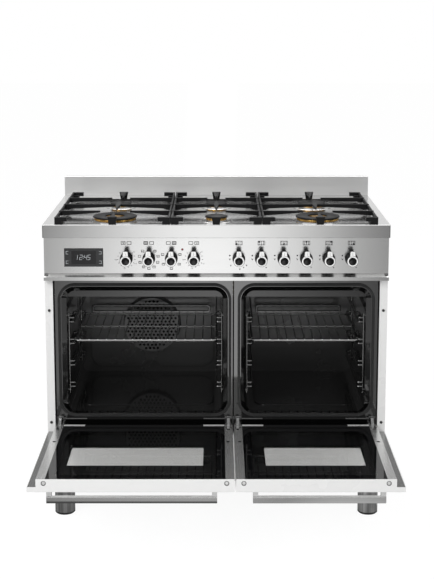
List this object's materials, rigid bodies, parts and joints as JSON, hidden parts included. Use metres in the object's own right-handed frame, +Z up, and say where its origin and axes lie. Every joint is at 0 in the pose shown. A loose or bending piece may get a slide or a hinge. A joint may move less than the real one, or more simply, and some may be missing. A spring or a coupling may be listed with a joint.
{
  "type": "range cooker",
  "caption": "Freestanding range cooker with side-by-side ovens behind drop-down doors, a front row of knobs, a gas hob with cast-iron pan supports, a low backguard and round feet.",
  "frame": {"origin": "middle of the bounding box on the floor, with both doors open", "axes": "+X to the right seen from the front, +Y from the front to the back, +Z up"},
  "size_m": [0.998, 1.0234, 0.956],
  "materials": {
    "white_enamel": "satin",
    "brushed_steel": "brushed",
    "polished_steel": "polished",
    "galvanised": "satin",
    "black_enamel": "gloss",
    "chromed_wire": "polished",
    "cast_iron": "matt",
    "brass": "satin",
    "aluminium": "satin",
    "black_plastic": "satin",
    "white_ceramic": "matt",
    "rubber": "matt",
    "door_glass": "clear",
    "lamp_glass": "clear",
    "red_lens": "gloss",
    "mineral_wool": "matt",
    "display_black": "gloss"
  },
  "bodies": {
    "cabinet": {"side_panel_left": "white_enamel", "side_panel_right": "white_enamel", "rear_cover": "galvanised", "base_pan": "galvanised", "lower_front_panel": "white_enamel", "oven_support_rails": "galvanised", "worktop": "brushed_steel", "backguard": "brushed_steel", "control_panel": "brushed_steel", "panel_ledge": "polished_steel", "display_module": "display_black", "pilot_lamp": "red_lens", "oven_left_cavity": "black_enamel", "oven_right_cavity": "black_enamel", "oven_insulation": "mineral_wool", "door_seals": "rubber", "side_racks": "chromed_wire", "fan_cover": "black_enamel", "fan_motor": "galvanised", "ring_element": "galvanised", "grill_elements": "galvanised", "oven_lamps": "lamp_glass", "hinge_arms": "galvanised", "door_bumpers": "rubber", "burner_bodies": "aluminium", "burner_rings": "brass", "burner_caps": "cast_iron", "igniters_and_probes": "white_ceramic", "gas_rail": "aluminium", "oven_switches": "black_plastic", "knob_bezels": "black_plastic", "mains_box": "black_plastic"},
    "door_left": {"door_left_skin": "white_enamel", "door_left_frame": "brushed_steel", "door_left_glass": "door_glass", "door_left_handle": "polished_steel"},
    "shelf_left": {"shelf_left": "chromed_wire"},
    "door_right": {"door_right_skin": "white_enamel", "door_right_frame": "brushed_steel", "door_right_glass": "door_glass", "door_right_handle": "polished_steel"},
    "shelf_right": {"shelf_right": "chromed_wire"},
    "fan": {"fan_blade": "galvanised"},
    "pan_support_left": {"pan_support_left": "cast_iron"},
    "pan_support_middle": {"pan_support_middle": "cast_iron"},
    "pan_support_right": {"pan_support_right": "cast_iron"},
    "foot_front_left": {"foot_front_left": "polished_steel"},
    "foot_front_right": {"foot_front_right": "polished_steel"},
    "foot_rear_left": {"foot_rear_left": "polished_steel"},
    "foot_rear_right": {"foot_rear_right": "polished_steel"},
    "knob_oven_left_heat": {"knob_oven_left_heat": "black_plastic"},
    "knob_oven_left_mode": {"knob_oven_left_mode": "black_plastic"},
    "knob_oven_right_mode": {"knob_oven_right_mode": "black_plastic"},
    "knob_oven_right_heat": {"knob_oven_right_heat": "black_plastic"},
    "knob_front_left": {"knob_front_left": "black_plastic"},
    "knob_rear_left": {"knob_rear_left": "black_plastic"},
    "knob_front_middle": {"knob_front_middle": "black_plastic"},
    "knob_rear_middle": {"knob_rear_middle": "black_plastic"},
    "knob_rear_right": {"knob_rear_right": "black_plastic"},
    "knob_front_right": {"knob_front_right": "black_plastic"}
  },
  "joints": [
    {"name": "door_left_hinge", "type": "hinge", "parent": "cabinet", "child": "door_left", "pos_m": [0, -0.06025, 0.275], "axis": [1, 0, 0], "range_deg": [-90, 0]},
    {"name": "door_right_hinge", "type": "hinge", "parent": "cabinet", "child": "door_right", "pos_m": [0, -0.06025, 0.275], "axis": [1, 0, 0], "range_deg": [-90, 0]},
    {"name": "shelf_left_slide", "type": "slide", "parent": "cabinet", "child": "shelf_left", "axis": [0, -1, 0], "range_m": [0, 0.3]},
    {"name": "shelf_right_slide", "type": "slide", "parent": "cabinet", "child": "shelf_right", "axis": [0, -1, 0], "range_m": [0, 0.3]},
    {"name": "pan_support_left_lift", "type": "slide", "parent": "cabinet", "child": "pan_support_left", "axis": [0, 0, 1], "range_m": [0, 0.06]},
    {"name": "pan_support_middle_lift", "type": "slide", "parent": "cabinet", "child": "pan_support_middle", "axis": [0, 0, 1], "range_m": [0, 0.06]},
    {"name": "pan_support_right_lift", "type": "slide", "parent": "cabinet", "child": "pan_support_right", "axis": [0, 0, 1], "range_m": [0, 0.06]},
    {"name": "fan_spin", "type": "hinge", "parent": "cabinet", "child": "fan", "pos_m": [-0.21, 0.39775, 0.484], "axis": [0, 1, 0], "continuous": true},
    {"name": "knob_oven_left_heat_turn", "type": "hinge", "parent": "cabinet", "child": "knob_oven_left_heat", "pos_m": [-0.26, -0.06625, 0.7915], "axis": [0, -1, 0], "range_deg": [-270, 0]},
    {"name": "knob_oven_left_mode_turn", "type": "hinge", "parent": "cabinet", "child": "knob_oven_left_mode", "pos_m": [-0.195, -0.06625, 0.7915], "axis": [0, -1, 0], "continuous": true},
    {"name": "knob_oven_right_mode_turn", "type": "hinge", "parent": "cabinet", "child": "knob_oven_right_mode", "pos_m": [-0.13, -0.06625, 0.7915], "axis": [0, -1, 0], "continuous": true},
    {"name": "knob_oven_right_heat_turn", "type": "hinge", "parent": "cabinet", "child": "knob_oven_right_heat", "pos_m": [-0.065, -0.06625, 0.7915], "axis": [0, -1, 0], "range_deg": [-270, 0]},
    {"name": "knob_front_left_turn", "type": "hinge", "parent": "cabinet", "child": "knob_front_left", "pos_m": [0.065, -0.06625, 0.7915], "axis": [0, -1, 0], "range_deg": [0, 215]},
    {"name": "knob_rear_left_turn", "type": "hinge", "parent": "cabinet", "child": "knob_rear_left", "pos_m": [0.13, -0.06625, 0.7915], "axis": [0, -1, 0], "range_deg": [0, 215]},
    {"name": "knob_front_middle_turn", "type": "hinge", "parent": "cabinet", "child": "knob_front_middle", "pos_m": [0.195, -0.06625, 0.7915], "axis": [0, -1, 0], "range_deg": [0, 215]},
    {"name": "knob_rear_middle_turn", "type": "hinge", "parent": "cabinet", "child": "knob_rear_middle", "pos_m": [0.26, -0.06625, 0.7915], "axis": [0, -1, 0], "range_deg": [0, 215]},
    {"name": "knob_rear_right_turn", "type": "hinge", "parent": "cabinet", "child": "knob_rear_right", "pos_m": [0.325, -0.06625, 0.7915], "axis": [0, -1, 0], "range_deg": [0, 215]},
    {"name": "knob_front_right_turn", "type": "hinge", "parent": "cabinet", "child": "knob_front_right", "pos_m": [0.39, -0.06625, 0.7915], "axis": [0, -1, 0], "range_deg": [0, 215]},
    {"name": "foot_front_left_screw", "type": "hinge", "parent": "cabinet", "child": "foot_front_left", "pos_m": [-0.457, -0.00825, 0.1], "axis": [0, 0, 1], "continuous": true},
    {"name": "foot_front_right_screw", "type": "hinge", "parent": "cabinet", "child": "foot_front_right", "pos_m": [0.457, -0.00825, 0.1], "axis": [0, 0, 1], "continuous": true},
    {"name": "foot_rear_left_screw", "type": "hinge", "parent": "cabinet", "child": "foot_rear_left", "pos_m": [-0.457, 0.43075, 0.1], "axis": [0, 0, 1], "continuous": true},
    {"name": "foot_rear_right_screw", "type": "hinge", "parent": "cabinet", "child": "foot_rear_right", "pos_m": [0.457, 0.43075, 0.1], "axis": [0, 0, 1], "continuous": true}
  ]
}
